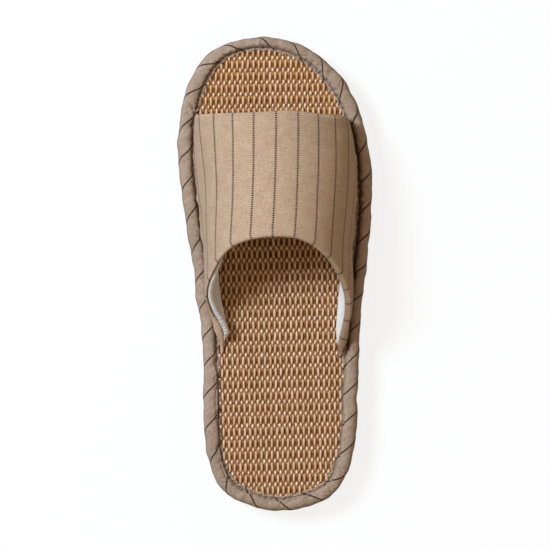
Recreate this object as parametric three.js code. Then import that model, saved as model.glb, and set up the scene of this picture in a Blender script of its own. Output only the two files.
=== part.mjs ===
// Open-toe house slipper for a right foot, put together as it is sewn: a foam outsole, a padded insole
// faced with a straw mat, a cloth tape rolled round the edge of that pad, a padded cloth upper that is
// open at the toe and behind the instep, and the narrow tape that binds the throat of the upper.
//
// Millimetres. +Y points to the toe, +X to the little-toe side, +Z up. The origin lies on the floor,
// midway along and across the slipper.

import * as THREE from "three";

// Sole and pad
const CLEARANCE = 0.3; // gap kept between neighbouring pieces
const OUTSOLE_THICKNESS = 5;
const OUTSOLE_INSET = 2.2; // how far the outsole sits in under the rolled edge
const OUTSOLE_BEVEL = 1.2; // softened lower edge
const PAD_THICKNESS = 7; // board, foam and straw mat together
const PAD_INSET = 5.5; // from the outside of the rolled edge to the side of the pad
const TOE_SPRING = 4; // how far the toe tip curls up
const TOE_SPRING_START = 50; // where the curl begins, ahead of mid-length

// Rolled edge
const ROLL_RISE = 2.7; // how far the roll stands above the mat
const ROLL_SHARE = 0.47; // the roll's crest lies this share of the band's width in from the outside
const ROLL_FOOT = 3.8; // where the roll's underside meets the outsole, in from the outside
const STITCH_INSET = 2.1; // from the band's inner edge to the sunk stitch line
const STITCH_HEIGHT = 1.0; // stitch line above the mat
const LIP_INSET = 1.0; // crest of the flat lip between stitch line and mat
const LIP_HEIGHT = 1.25;
const LIP_EDGE = 0.75;

// Upper
const WALL = 3; // cloth, foam and lining together
const SEAM_INSET = 1.5; // the upper's foot stands this far inside the band
const CROWN_SHIFT = 1; // the crown leans to the little-toe side
const TUCK_POWER = 6; // how close to the foot the sides turn under
const TAPE_WIDTH = 2.6; // throat tape
const TAPE_PROUD = 0.35; // the tape is this much thicker than the wall on each face
const TAPE_END = 0.955; // share of the section at which the tape runs out, just above the mat

// Fineness of the facets
const EDGE_SAMPLES = 96;
const ROLL_STEPS = 7;
const ARCH_LINES = 48;
const ARCH_STEPS = 16;
const BEND_STEPS = 24;
const TAPE_STEPS = 56;

// Outside of the rolled edge seen from above, a row for each section across the slipper.
// along: ahead of mid-length. medial, lateral: the two edges. band: the rolled edge's width there.
const TOE_TIP = { along: 132.5, across: -7.5, band: 7.6 };
const HEEL_TIP = { along: -132.5, across: 2.5, band: 9.2 };
const EDGE_SECTIONS = [
  { along: 128, medial: -30, lateral: 15.2, band: 8.6 },
  { along: 115, medial: -44, lateral: 33.2, band: 9.6 },
  { along: 94, medial: -52.2, lateral: 46.4, band: 10 },
  { along: 66, medial: -54.2, lateral: 53.4, band: 10 },
  { along: 34, medial: -50.6, lateral: 54.1, band: 9.8 },
  { along: 6, medial: -46, lateral: 51.4, band: 9.8 },
  { along: -13, medial: -44.1, lateral: 49.2, band: 9.8 },
  { along: -30, medial: -41.1, lateral: 47.7, band: 9.6 },
  { along: -60, medial: -40.1, lateral: 46.7, band: 9.5 },
  { along: -92, medial: -39.3, lateral: 45.2, band: 9.3 },
  { along: -112, medial: -34.6, lateral: 40.2, band: 9.2 },
  { along: -125.5, medial: -22.3, lateral: 28.8, band: 9.2 },
];

// Sections of the upper. crown: height above its foot. The leans are the slope, in degrees, that each side
// has reached towards its foot, and the tucks are how much further it turns under at the seam.
const ARCH_SECTIONS = [
  { along: -52, crown: 50, medialLean: 70, medialTuck: 31, lateralLean: 78, lateralTuck: 41 },
  { along: -15, crown: 50, medialLean: 84, medialTuck: 55, lateralLean: 79, lateralTuck: 52 },
  { along: 20, crown: 49, medialLean: 77, medialTuck: 48, lateralLean: 70, lateralTuck: 33 },
  { along: 55, crown: 44.5, medialLean: 65, medialTuck: 44, lateralLean: 67, lateralTuck: 50 },
  { along: 90, crown: 36.5, medialLean: 60, medialTuck: 80, lateralLean: 62, lateralTuck: 76 },
];

// Edges of the upper. share: -1 at the medial foot, 0 at the crown, 1 at the lateral foot.
const FRONT_EDGE = [
  { share: -1, along: 86.5 },
  { share: -0.6, along: 87.5 },
  { share: 0, along: 89.5 },
  { share: 0.6, along: 87 },
  { share: 1, along: 84.5 },
];
const THROAT_EDGE = [
  { share: -1, along: -43 },
  { share: -0.9, along: -30 },
  { share: -0.78, along: -15.5 },
  { share: -0.64, along: 1 },
  { share: -0.52, along: 12 },
  { share: -0.4, along: 18.5 },
  { share: -0.24, along: 22.7 },
  { share: -0.08, along: 24.2 },
  { share: 0.1, along: 23.2 },
  { share: 0.25, along: 19.5 },
  { share: 0.39, along: 13.6 },
  { share: 0.51, along: 6.8 },
  { share: 0.63, along: -3 },
  { share: 0.76, along: -18 },
  { share: 0.88, along: -32 },
  { share: 1, along: -46 },
];

const PAD_BOTTOM = OUTSOLE_THICKNESS + CLEARANCE;
const PAD_TOP = PAD_BOTTOM + PAD_THICKNESS;
const UPPER_FOOT = PAD_TOP + CLEARANCE;

// How far the curl of the toe lifts everything that lies at this place along the slipper.
function toeLift(along) {
  const reach = (along - TOE_SPRING_START) / (TOE_TIP.along - TOE_SPRING_START);
  return TOE_SPRING * Math.max(0, reach) ** 2;
}

// One column of a table at any place on its axis, along a smooth curve through the rows.
function column(rows, axis, name, place) {
  const slopeBetween = (a, b) => (b[name] - a[name]) / (b[axis] - a[axis]);
  const slopeAt = (i) => {
    const before = rows[Math.max(i - 1, 0)];
    const after = rows[Math.min(i + 1, rows.length - 1)];
    const steepness = [];
    if (before !== rows[i]) steepness.push(slopeBetween(before, rows[i]));
    if (after !== rows[i]) steepness.push(slopeBetween(rows[i], after));
    return steepness.reduce((sum, value) => sum + value, 0) / steepness.length;
  };
  const last = rows.length - 2;
  const i = Math.min(Math.max(rows.findLastIndex((row) => row[axis] <= place), 0), last);
  const span = rows[i + 1][axis] - rows[i][axis];
  const t = THREE.MathUtils.clamp((place - rows[i][axis]) / span, 0, 1);
  const start = rows[i][name] * (1 + 2 * t) * (1 - t) ** 2 + slopeAt(i) * span * t * (1 - t) ** 2;
  const end = rows[i + 1][name] * t * t * (3 - 2 * t) + slopeAt(i + 1) * span * t * t * (t - 1);
  return start + end;
}

// The rolled edge's outside as one closed curve, clockwise from the toe tip. Its third number is the band.
const edgeCurve = new THREE.CatmullRomCurve3(
  [
    new THREE.Vector3(TOE_TIP.across, TOE_TIP.along, TOE_TIP.band),
    ...EDGE_SECTIONS.map((row) => new THREE.Vector3(row.lateral, row.along, row.band)),
    new THREE.Vector3(HEEL_TIP.across, HEEL_TIP.along, HEEL_TIP.band),
    ...EDGE_SECTIONS.toReversed().map((row) => new THREE.Vector3(row.medial, row.along, row.band)),
  ],
  true,
  "catmullrom",
  0.5,
);

// Places round the edge, half a step off the toe tip so that the ribs from side to side pair up.
const edgePlaces = Array.from({ length: EDGE_SAMPLES }, (_, i) => {
  const place = (i + 0.5) / EDGE_SAMPLES;
  const point = edgeCurve.getPointAt(place);
  const travel = edgeCurve.getTangentAt(place).setZ(0).normalize();
  return { point, inward: new THREE.Vector3(travel.y, -travel.x, 0), band: point.z };
});

// A point at one place of the edge, so far in from the outside and so high, lifted with the toe.
function edgePoint({ point, inward }, inset, height) {
  const x = point.x + inward.x * inset;
  const y = point.y + inward.y * inset;
  return new THREE.Vector3(x, y, height + toeLift(y));
}

// A closed solid skinned over rings of points. Without closed, each end is capped from side to side.
function skin(rings, { closed = false } = {}) {
  const size = rings[0].length;
  const index = [];
  const quad = (a, b, c, d) => index.push(a, b, c, a, c, d);
  rings.forEach((_, r) => {
    const next = (r + 1) % rings.length;
    if (next === 0 && !closed) return;
    for (let i = 0; i < size; i++) {
      const j = (i + 1) % size;
      quad(r * size + i, r * size + j, next * size + j, next * size + i);
    }
  });
  if (!closed) {
    const top = (rings.length - 1) * size;
    for (let i = 0; i < size / 2 - 1; i++) {
      const far = size - 1 - i;
      quad(i, far, far - 1, i + 1);
      quad(top + i, top + i + 1, top + far - 1, top + far);
    }
  }
  const points = rings.flat();
  const corners = (t) => [0, 1, 2].map((k) => points[index[t + k]]);
  let volume = 0;
  for (let t = 0; t < index.length; t += 3) {
    const [a, b, c] = corners(t);
    volume += a.dot(b.clone().cross(c));
  }
  const geometry = new THREE.BufferGeometry().setFromPoints(points);
  geometry.setIndex(volume < 0 ? index.reverse() : index);
  geometry.computeVertexNormals();
  return geometry;
}

// Outsole: a foam sheet with a softened lower edge.
function outsole() {
  const levels = [
    { inset: OUTSOLE_INSET + OUTSOLE_BEVEL, height: 0 },
    { inset: OUTSOLE_INSET, height: OUTSOLE_BEVEL },
    { inset: OUTSOLE_INSET, height: OUTSOLE_THICKNESS },
  ];
  return skin(levels.map(({ inset, height }) => edgePlaces.map((p) => edgePoint(p, inset, height))));
}

// Insole: the pad that the foot stands on.
function insole() {
  const heights = [PAD_BOTTOM, PAD_TOP];
  return skin(heights.map((height) => edgePlaces.map((p) => edgePoint(p, PAD_INSET, height))));
}

// Rolled edge: the tape bulges round the pad's edge and ends in a stitched lip on the mat.
function rolledEdge() {
  const middle = (PAD_BOTTOM + PAD_TOP + ROLL_RISE) / 2;
  const halfHeight = middle - PAD_BOTTOM;
  const section = (band) => {
    const crest = ROLL_SHARE * band;
    const roll = Array.from({ length: ROLL_STEPS }, (_, k) => {
      const turn = Math.PI * (k / (ROLL_STEPS - 1) - 0.5);
      const depth = turn < 0 ? ROLL_FOOT : crest;
      return [depth * (1 - Math.cos(turn)), middle + halfHeight * Math.sin(turn)];
    });
    return [
      ...roll,
      [band - STITCH_INSET, PAD_TOP + STITCH_HEIGHT],
      [band - LIP_INSET, PAD_TOP + LIP_HEIGHT],
      [band, PAD_TOP + LIP_EDGE],
      [band, PAD_TOP + CLEARANCE],
      [PAD_INSET - CLEARANCE, PAD_TOP + CLEARANCE],
      [PAD_INSET - CLEARANCE, PAD_BOTTOM],
    ];
  };
  const rings = edgePlaces.map((place) =>
    section(place.band).map(([inset, height]) => edgePoint(place, inset, height)),
  );
  return skin(rings, { closed: true });
}

// Foot of the upper on each side of a section: the band's inner edge and the seam allowance inside it.
function footLine(side) {
  const rows = edgePlaces
    .filter(({ inward }) => Math.sign(inward.x) === -side)
    .map((place) => edgePoint(place, place.band + SEAM_INSET, 0))
    .map(({ x, y }) => ({ along: y, across: x }));
  return rows.sort((a, b) => a.along - b.along);
}
const medialFoot = footLine(-1);
const lateralFoot = footLine(1);

// Outer face of the upper. From the crown each side bends down to its lean, tightest at the crown as a bent
// strip does, and turns under at the foot. The bent line is then fitted to the section's height and width.
function archPoint(share, along) {
  const medial = column(medialFoot, "along", "across", along);
  const lateral = column(lateralFoot, "along", "across", along);
  const crownAcross = (medial + lateral) / 2 + CROWN_SHIFT;
  const side = share < 0 ? "medial" : "lateral";
  const lean = THREE.MathUtils.degToRad(column(ARCH_SECTIONS, "along", `${side}Lean`, along));
  const tuck = THREE.MathUtils.degToRad(column(ARCH_SECTIONS, "along", `${side}Tuck`, along));
  const crown = column(ARCH_SECTIONS, "along", "crown", along);
  const bendTo = (end) => {
    let out = 0;
    let drop = 0;
    for (let k = 0; k < BEND_STEPS; k++) {
      const place = (end * (k + 0.5)) / BEND_STEPS;
      const slope = lean * Math.sin((place * Math.PI) / 2) + tuck * place ** TUCK_POWER;
      out += (end * Math.cos(slope)) / BEND_STEPS;
      drop += (end * Math.sin(slope)) / BEND_STEPS;
    }
    return { out, drop };
  };
  const here = bendTo(Math.min(Math.abs(share), 1));
  const foot = bendTo(1);
  const footAcross = share < 0 ? medial : lateral;
  const x = THREE.MathUtils.lerp(crownAcross, footAcross, here.out / foot.out);
  const z = UPPER_FOOT + crown * (1 - here.drop / foot.drop) + toeLift(along);
  return new THREE.Vector3(x, along, z);
}

// Outward direction of the upper's outer face.
function archNormal(share, along) {
  const step = 0.004;
  const stride = 0.5;
  const sooner = archPoint(Math.max(share - step, -1), along);
  const later = archPoint(Math.min(share + step, 1), along);
  const behind = archPoint(share, along - stride);
  const ahead = archPoint(share, along + stride);
  return later.sub(sooner).cross(ahead.sub(behind)).normalize();
}

const shares = Array.from({ length: ARCH_LINES + 1 }, (_, i) => (2 * i) / ARCH_LINES - 1);

// Upper: outer and inner face a wall apart, from the toe opening back to the throat.
function upper() {
  const rings = Array.from({ length: ARCH_STEPS + 1 }, (_, k) => {
    const places = shares.map((share) => {
      const front = column(FRONT_EDGE, "share", "along", share);
      const throat = column(THROAT_EDGE, "share", "along", share);
      return { share, along: THREE.MathUtils.lerp(front, throat, k / ARCH_STEPS) };
    });
    const outer = places.map(({ share, along }) => archPoint(share, along));
    const inner = places.map(({ share, along }, i) => {
      const point = outer[i].clone().addScaledVector(archNormal(share, along), -WALL);
      return Math.abs(share) === 1 ? point.setZ(outer[i].z) : point;
    });
    return [...outer, ...inner.reverse()];
  });
  return skin(rings);
}

// Throat tape: a rounded strip that carries on from the wall along the upper's rear edge.
function throatTape() {
  const throatPoint = (share) => archPoint(share, column(THROAT_EDGE, "share", "along", share));
  const rings = Array.from({ length: TAPE_STEPS + 1 }, (_, k) => {
    const share = THREE.MathUtils.lerp(-TAPE_END, TAPE_END, k / TAPE_STEPS);
    const outward = archNormal(share, column(THROAT_EDGE, "share", "along", share));
    const step = 0.004;
    const travel = throatPoint(share + step).sub(throatPoint(share - step)).normalize();
    const rearward = travel.cross(outward).normalize();
    const origin = throatPoint(share);
    const section = [
      [CLEARANCE, TAPE_PROUD],
      [CLEARANCE + TAPE_WIDTH / 2, TAPE_PROUD],
      [CLEARANCE + TAPE_WIDTH, -WALL / 3],
      [CLEARANCE + TAPE_WIDTH, (-2 * WALL) / 3],
      [CLEARANCE + TAPE_WIDTH / 2, -WALL - TAPE_PROUD],
      [CLEARANCE, -WALL - TAPE_PROUD],
    ];
    return section.map(([back, out]) =>
      origin.clone().addScaledVector(rearward, back).addScaledVector(outward, out),
    );
  });
  return skin(rings);
}

const STRAW = { color: 0xbf936a, roughness: 0.75, metalness: 0 };
const CLOTH = { color: 0xbda287, roughness: 0.95, metalness: 0 };
const FOAM = { color: 0xa18b74, roughness: 0.85, metalness: 0 };

const slipper = new THREE.Group();
const pieces = [
  { name: "outsole", geometry: outsole(), finish: FOAM },
  { name: "insole", geometry: insole(), finish: STRAW },
  { name: "rolled_edge", geometry: rolledEdge(), finish: CLOTH },
  { name: "upper", geometry: upper(), finish: CLOTH },
  { name: "throat_tape", geometry: throatTape(), finish: CLOTH },
];
for (const { name, geometry, finish } of pieces) {
  const mesh = new THREE.Mesh(geometry, new THREE.MeshStandardMaterial(finish));
  mesh.name = name;
  slipper.add(mesh);
}

export default slipper;
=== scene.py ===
"""Open-toe house slipper for the right foot, seen from straight above on a pale floor.

+Y points to the toe, +X to the little-toe side and +Z up. Shapes are worked out in millimetres in the
part's own frame and put into the meshes in metres.
"""

import bpy
import numpy as np
from mathutils import Matrix, Vector


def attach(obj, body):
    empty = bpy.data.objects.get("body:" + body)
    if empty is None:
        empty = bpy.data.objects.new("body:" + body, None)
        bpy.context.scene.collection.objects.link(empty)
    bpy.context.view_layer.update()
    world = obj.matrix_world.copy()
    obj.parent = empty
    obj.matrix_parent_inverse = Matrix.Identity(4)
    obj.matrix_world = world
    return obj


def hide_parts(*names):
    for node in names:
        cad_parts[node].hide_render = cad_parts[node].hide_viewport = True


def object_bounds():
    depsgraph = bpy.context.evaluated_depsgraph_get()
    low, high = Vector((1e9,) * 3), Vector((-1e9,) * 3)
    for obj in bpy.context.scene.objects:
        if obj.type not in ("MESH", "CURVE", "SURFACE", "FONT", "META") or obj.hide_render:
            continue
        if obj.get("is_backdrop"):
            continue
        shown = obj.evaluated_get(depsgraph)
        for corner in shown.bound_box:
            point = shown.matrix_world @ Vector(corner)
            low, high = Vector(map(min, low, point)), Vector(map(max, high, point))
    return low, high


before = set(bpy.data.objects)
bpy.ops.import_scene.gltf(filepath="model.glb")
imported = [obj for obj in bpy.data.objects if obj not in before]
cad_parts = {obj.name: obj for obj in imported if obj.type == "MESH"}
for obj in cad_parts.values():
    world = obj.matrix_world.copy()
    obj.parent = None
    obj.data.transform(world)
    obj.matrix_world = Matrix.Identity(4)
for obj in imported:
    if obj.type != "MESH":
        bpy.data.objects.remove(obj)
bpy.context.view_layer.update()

# Outsole: one sheet of foam rubber glued under the pad and trimmed a little inside the rolled edge.
# The cut edge is smooth with a softened lower corner, and a fine line runs round where it was glued.
MM = 0.001
OUTSOLE_THICKNESS = 5.0
OUTSOLE_INSET = 2.2
OUTSOLE_BEVEL = 1.2
GLUE_LINE_DEPTH = 0.35
GLUE_LINE_HALF = 0.3
GLUE_LINE_HEIGHT = OUTSOLE_THICKNESS - 0.6
GLUE_FILM = 0.2
TOE_TIP_ALONG = 132.5
TOE_SPRING = 4.0
TOE_SPRING_START = 50.0
EDGE_PLACES = 1440
SPLINE_STEPS = 24

# Outside of the slipper from above: along, medial edge, lateral edge, width of the rolled edge
EDGE_SECTIONS = (
    (128.0, -30.0, 15.2, 8.6),
    (115.0, -44.0, 33.2, 9.6),
    (94.0, -52.2, 46.4, 10.0),
    (66.0, -54.2, 53.4, 10.0),
    (34.0, -50.6, 54.1, 9.8),
    (6.0, -46.0, 51.4, 9.8),
    (-13.0, -44.1, 49.2, 9.8),
    (-30.0, -41.1, 47.7, 9.6),
    (-60.0, -40.1, 46.7, 9.5),
    (-92.0, -39.3, 45.2, 9.3),
    (-112.0, -34.6, 40.2, 9.2),
    (-125.5, -22.3, 28.8, 9.2),
)
# Tips of the outline: across, along, width of the rolled edge
TOE_TIP = (-7.5, TOE_TIP_ALONG, 7.6)
HEEL_TIP = (2.5, -132.5, 9.2)


def spline(points, steps, closed=False):
    """Catmull-Rom curve through points along the first axis, with steps places in each span.

    At share t of a span a, b, c, d the point is half of 2b + (c - a)t + (2a - 5b + 4c - d)t^2
    + (3b - a - 3c + d)t^3. An open curve repeats its end points.
    """
    if closed:
        a, b, c, d = (np.roll(points, k, axis=0) for k in (1, 0, -1, -2))
    else:
        padded = np.concatenate([points[:1], points, points[-1:]])
        a, b, c, d = padded[:-3], padded[1:-2], padded[2:-1], padded[3:]
    t = (np.arange(steps) / steps).reshape((1, steps) + (1,) * (points.ndim - 1))
    a, b, c, d = (x[:, None] for x in (a, b, c, d))
    curve = 0.5 * (
        2 * b + (c - a) * t + (2 * a - 5 * b + 4 * c - d) * t**2 + (3 * b - a - 3 * c + d) * t**3
    )
    curve = curve.reshape((-1,) + points.shape[1:])
    return curve if closed else np.concatenate([curve, points[-1:]])


def spaced(line, count):
    """A closed line of points, resampled to count places evenly spaced by length, and its length."""
    ring = np.vstack([line, line[:1]])
    run = np.concatenate([[0], np.cumsum(np.linalg.norm(np.diff(ring[:, :2], axis=0), axis=1))])
    places = np.linspace(0, run[-1], count, endpoint=False)
    return np.stack([np.interp(places, run, ring[:, k]) for k in range(ring.shape[1])], 1), run[-1]


def toe_lift(along):
    """Height that the toe's curl adds: the square of the way from the curl's start to the toe tip."""
    reach = np.clip((along - TOE_SPRING_START) / (TOE_TIP_ALONG - TOE_SPRING_START), 0, None)
    return TOE_SPRING * reach**2


def unit(v):
    """Vectors scaled to length 1."""
    return v / np.linalg.norm(v, axis=-1, keepdims=True)


sections = np.array(EDGE_SECTIONS)
lateral_side = sections[:, [2, 0, 3]]
medial_side = sections[::-1, [1, 0, 3]]
edge_stations = np.vstack([TOE_TIP, lateral_side, HEEL_TIP, medial_side])
edge, edge_length = spaced(spline(edge_stations, SPLINE_STEPS, closed=True), EDGE_PLACES)
edge_band = edge[:, 2]
travel = unit(np.roll(edge[:, :2], -1, axis=0) - np.roll(edge[:, :2], 1, axis=0))
inward = np.stack([travel[:, 1], -travel[:, 0]], 1)


def edge_points(inset, height):
    """Points round the slipper, inset from its outside along the inward normal, lifted with the toe."""
    inset, height = np.broadcast_arrays(np.asarray(inset, float), np.asarray(height, float))
    plan = edge[:, :2] + inward * inset[..., None]
    return np.dstack([plan[..., 0], plan[..., 1], height + toe_lift(plan[..., 1])])


def piece_from(name, points, faces, finish, corners=None, marks=None):
    """An object at the origin that rides on the slipper, from points in millimetres and smooth faces.

    corners gives the finish's own two coordinates at every face corner, and marks gives single values at
    every point.
    """
    mesh = bpy.data.meshes.new(name)
    mesh.from_pydata((points * MM).tolist(), [], faces)
    mesh.shade_smooth()
    mesh.materials.append(finish)
    if corners is not None:
        layer = mesh.uv_layers.new(name="cloth")
        layer.uv.foreach_set("vector", np.ascontiguousarray(corners, np.float32).ravel())
    for mark, values in (marks or {}).items():
        attribute = mesh.attributes.new(mark, "FLOAT", "POINT")
        attribute.data.foreach_set("value", np.ascontiguousarray(values, np.float32).ravel())
    mesh.update()
    piece = bpy.data.objects.new(name, mesh)
    bpy.context.scene.collection.objects.link(piece)
    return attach(piece, "root")


def skin(name, grid, finish, rows_closed=False, places=None, marks=None):
    """A closed mesh over rows of points, each row a closed ring, one quad to a cell.

    Open row ends are capped by quads from side to side. The faces are turned outwards by the sign of the
    enclosed volume. places gives the finish's own coordinates at every point, with one column more than
    the grid, and one row more where the rows close.
    """
    rows, cols = grid.shape[:2]
    number = np.arange(rows * cols).reshape(rows, cols)
    r = np.arange(rows if rows_closed else rows - 1)[None, :, None]
    c = np.arange(cols)[None, None, :]
    step_r = np.array([0, 0, 1, 1]).reshape(4, 1, 1)
    step_c = np.array([0, 1, 1, 0]).reshape(4, 1, 1)
    at_r, at_c = np.broadcast_arrays(r + step_r, c + step_c)
    quads = number[at_r % rows, at_c % cols].reshape(4, -1).T
    corners = None if places is None else places[at_r, at_c].reshape(4, -1, 2).transpose(1, 0, 2)
    if not rows_closed:
        i = np.arange(cols // 2 - 1)
        near = np.stack([i, cols - 1 - i, cols - 2 - i, i + 1], 1)
        for row, ribs in ((0, near), (rows - 1, near[:, ::-1])):
            quads = np.vstack([quads, number[row][ribs]])
            if places is not None:
                corners = np.concatenate([corners, places[row][ribs]])
    points = grid.reshape(-1, 3)
    p, q, s, t = (points[quads[:, k]] for k in range(4))
    volume = np.einsum("ij,ij->", p, np.cross(q, s)) + np.einsum("ij,ij->", p, np.cross(s, t))
    if volume < 0:
        quads = quads[:, ::-1]
        corners = None if corners is None else corners[:, ::-1]
    return piece_from(name, points, quads.tolist(), finish, corners, marks)


def add(tree, kind, settings=None, **inputs):
    """A shader node with its settings, and each input set to a value or linked from a socket.

    An input goes by its socket's name, with _ for a space, or by its number as i0, i1 and so on.
    """
    made = tree.nodes.new(kind)
    for setting, value in (settings or {}).items():
        setattr(made, setting, value)
    for key, value in inputs.items():
        number = key[1:]
        socket = made.inputs[int(number) if key[0] == "i" and number.isdigit() else key.replace("_", " ")]
        if isinstance(value, bpy.types.NodeSocket):
            tree.links.new(value, socket)
        else:
            socket.default_value = value
    return made


def noise(tree, place, scale, detail=2.0, roughness=0.5):
    """Cloudy noise from 0 to 1, about scale clouds to one unit of place."""
    inputs = {"Vector": place, "Scale": scale, "Detail": detail, "Roughness": roughness}
    return add(tree, "ShaderNodeTexNoise", **inputs).outputs["Fac"]


def graded(tree, value, *stops):
    """Colour of a value on a ramp, given as pairs of place and colour from low to high."""
    ramp = add(tree, "ShaderNodeValToRGB", Fac=value)
    elements = ramp.color_ramp.elements
    for element, (place, colour) in zip(elements, (stops[0], stops[-1])):
        element.position = place
        element.color = colour
    for place, colour in stops[1:-1]:
        elements.new(place).color = colour
    return ramp.outputs["Color"]


def srgb(red, green, blue):
    """Linear colour of an sRGB one, given from 0 to 255: ((c + 0.055) / 1.055) ^ 2.4 above the toe."""
    c = np.array([red, green, blue]) / 255
    linear = np.where(c <= 0.04045, c / 12.92, ((c + 0.055) / 1.055) ** 2.4)
    return (*linear.tolist(), 1.0)


def new_finish(name):
    """A plain material, its node tree and its shader, which is linked to the output."""
    finish = bpy.data.materials.new(name)
    finish.use_nodes = True
    tree = finish.node_tree
    return finish, tree, tree.nodes["Principled BSDF"]


def dress(tree, shader, colour, roughness, bump=None):
    """Gives a shader its colour, its roughness and, where there is one, its bump."""
    tree.links.new(colour, shader.inputs["Base Color"])
    shader.inputs["Roughness"].default_value = roughness
    if bump is not None:
        tree.links.new(bump.outputs["Normal"], shader.inputs["Normal"])


foam, tree, shader = new_finish("sole_foam")
here = add(tree, "ShaderNodeTexCoord").outputs["Object"]
tint = graded(tree, noise(tree, here, 55.0, 4.0), (0.3, srgb(128, 104, 82)), (0.7, srgb(148, 123, 99)))
pores = noise(tree, here, 2600.0, 3.0, 0.6)
bump = add(tree, "ShaderNodeBump", Strength=0.35, Distance=0.0003, Height=pores)
dress(tree, shader, tint, 0.8, bump)

# Cut edge of the sheet from its underside up: inset, height
sole_levels = (
    (OUTSOLE_INSET + OUTSOLE_BEVEL, 0.0),
    (OUTSOLE_INSET + 0.3 * OUTSOLE_BEVEL, 0.3 * OUTSOLE_BEVEL),
    (OUTSOLE_INSET, OUTSOLE_BEVEL),
    (OUTSOLE_INSET, 0.55 * OUTSOLE_THICKNESS),
    (OUTSOLE_INSET, GLUE_LINE_HEIGHT - GLUE_LINE_HALF),
    (OUTSOLE_INSET + GLUE_LINE_DEPTH, GLUE_LINE_HEIGHT),
    (OUTSOLE_INSET, GLUE_LINE_HEIGHT + GLUE_LINE_HALF),
    (OUTSOLE_INSET, OUTSOLE_THICKNESS + GLUE_FILM),
)
sole = skin("sole", edge_points(*np.array(sole_levels).T[..., None]), foam)
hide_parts("outsole")

# Insole: a board and foam pad faced with a mat of twisted straw. Long bars dive under one weft in each
# row, and the columns between them show only as short grains over that weft.
PAD_TOP = 12.3
COLUMN_PITCH = 3.0
COLUMN_START = 2.25
ROW_PITCH = 6.61
ROW_START = -1.46
ROW_SHADE_LEAD = 0.44
MAT_TURN = np.radians(1.2)
MAT_UNDER_LIP = 0.7
STRAND_SIDES = 6
STRAND_STEPS = 400
STRAND_THICKNESS = 1.0
STRAND_SINK = 0.2
WEFT_STEPS = 120
WEFT_WIDTH = 1.7
WEFT_THICKNESS = 0.7
WEFT_SINK = 0.15
ANY_PHASE = (0.0, 6.3)
# Strands: piece, shift in columns and in rows, half length of a grain in rows, rise, width, paleness
STRANDS = (
    ("mat_bars", 0.0, 0.0, 0.38, 0.75, 1.42, 0.0),
    ("mat_grains", 0.5, 0.5, 0.175, 0.8, 1.4, 0.45),
)

straw_seed = np.random.default_rng(11)
mat_axes = np.array([[np.cos(MAT_TURN), np.sin(MAT_TURN)], [-np.sin(MAT_TURN), np.cos(MAT_TURN)]])
mat_edge = edge_points(edge_band - MAT_UNDER_LIP, PAD_TOP)[0, :, :2] @ mat_axes.T


def on_mat(across, along, height):
    """Points of the mat, which lies turned a little on the pad, raised over its top and with the toe."""
    plan = np.stack(np.broadcast_arrays(across, along), -1) @ mat_axes
    return np.concatenate([plan, (PAD_TOP + height + toe_lift(plan[..., 1]))[..., None]], -1)


def mat_lines(values, fixed, free, shortest):
    """The lines fixed = value that are longer on the mat than the shortest, with their two ends there."""
    here, there = mat_edge, np.roll(mat_edge, -1, axis=0)
    a, b = here[:, fixed][None], there[:, fixed][None]
    level = values[:, None]
    crossed = (a - level) * (b - level) < 0
    share = np.where(crossed, (level - a) / np.where(crossed, b - a, 1), 0)
    place = here[:, free] + share * (there[:, free] - here[:, free])
    low = np.where(crossed, place, np.inf).min(1)
    high = np.where(crossed, place, -np.inf).max(1)
    kept = high - low > shortest
    return (column[kept][:, None] for column in (values, low, high))


def tubes(name, paths, across, width, thickness, marks):
    """Flattened straw tubes of six sides along paths, all in one mesh.

    Each ring is an ellipse, width along the across direction and thickness along +Z, closed at both ends
    by one six-sided face. marks gives single values at every place of the paths.
    """
    strands, steps = paths.shape[:2]
    across = np.array([*across, 0.0])
    turn = 2 * np.pi * np.arange(STRAND_SIDES) / STRAND_SIDES
    side = (np.cos(turn) / 2)[:, None] * across
    rise = (np.sin(turn) / 2)[:, None] * np.array([0.0, 0.0, thickness])
    rings = paths[:, :, None] + width[..., None, None] * side + rise
    number = np.arange(strands * steps * STRAND_SIDES).reshape(strands, steps, STRAND_SIDES)
    following = np.roll(number, -1, axis=2)
    quads = np.stack([number[:, :-1], number[:, 1:], following[:, 1:], following[:, :-1]], -1)
    ends = np.concatenate([number[:, 0], number[:, -1, ::-1]])
    faces = [*quads.reshape(-1, 4).tolist(), *ends.tolist()]
    if np.cross(across, paths[0, -1] - paths[0, 0])[2] < 0:
        faces = [face[::-1] for face in faces]
    spread = {mark: np.broadcast_to(values[..., None], number.shape) for mark, values in marks.items()}
    return piece_from(name, rings.reshape(-1, 3), faces, straw, marks=spread)


def grain(phase, half_length):
    """Height of a strand along its row: an ellipse, 1 in the middle of a grain and 0 at its ends."""
    reach = np.abs(phase - np.round(phase)) / half_length
    return np.sqrt(np.clip(1 - reach**2, 0, None)) - 0.8 * np.clip(reach - 1, 0, 1)


def each_grain(phase, low, high):
    """One even random value for each grain of each strand, held along the whole grain."""
    row = np.round(phase).astype(int)
    values = straw_seed.uniform(low, high, (phase.shape[0], row.max() - row.min() + 1))
    return np.take_along_axis(values, row - row.min(), axis=1)


def new_group(name, inputs, outputs):
    """An empty node group with sockets, each given by its name and kind, and the sockets that feed it."""
    group = bpy.data.node_groups.new(name, "ShaderNodeTree")
    for in_out, sockets in (("INPUT", inputs), ("OUTPUT", outputs)):
        for socket, kind in sockets.items():
            group.interface.new_socket(socket, in_out=in_out, socket_type="NodeSocket" + kind)
    return group, add(group, "NodeGroupInput").outputs


def ranged(tree, value, low, high, start=0.0, end=1.0, way="LINEAR"):
    """A value from low to high brought to the range from start to end and held inside it."""
    settings = {"interpolation_type": way}
    made = add(tree, "ShaderNodeMapRange", settings, Value=value, i1=low, i2=high, i3=start, i4=end)
    return made.outputs["Result"]


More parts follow.
